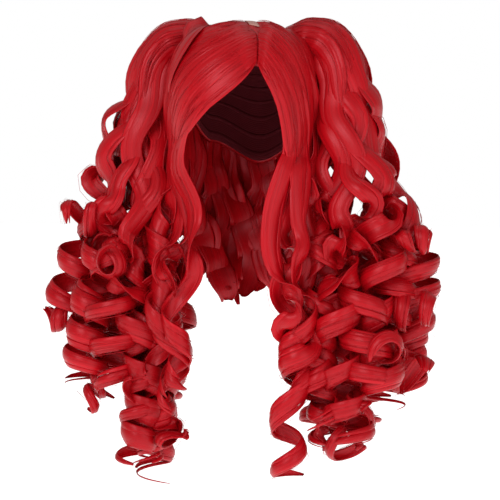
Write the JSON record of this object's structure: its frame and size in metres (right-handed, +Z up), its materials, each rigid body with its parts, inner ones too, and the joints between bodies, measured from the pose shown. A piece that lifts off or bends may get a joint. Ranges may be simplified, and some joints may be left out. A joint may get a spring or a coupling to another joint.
{
  "type": "pigtail wig",
  "caption": "Long curly wig on a hollow net cap: bangs swept from a side parting, locks that frame the face, and a clip-on ponytail high on each side that falls in corkscrew curls.",
  "frame": {"origin": "inside top of the cap, where it sits on the crown of the head", "axes": "+Z up, the face opening looks along -Y, +X to the right as seen from the front"},
  "size_m": [0.4814, 0.2476, 0.5939],
  "materials": {
    "hair": "glossy red synthetic hair in combed strands",
    "cap_net": "matt knitted net with sewn wefts",
    "parting_cloth": "matt skin-toned scalp cloth",
    "clip_plastic": "smooth dark plastic"
  },
  "bodies": {
    "root": {"wig_cap": "cap_net", "crown_hair": "hair", "parting_skin": "parting_cloth", "swept_bangs": "hair", "side_front_hair": "hair", "back_hair": "hair", "left_clip": "clip_plastic", "right_clip": "clip_plastic", "left_pigtail": "hair", "right_pigtail": "hair"}
  },
  "joints": []
}
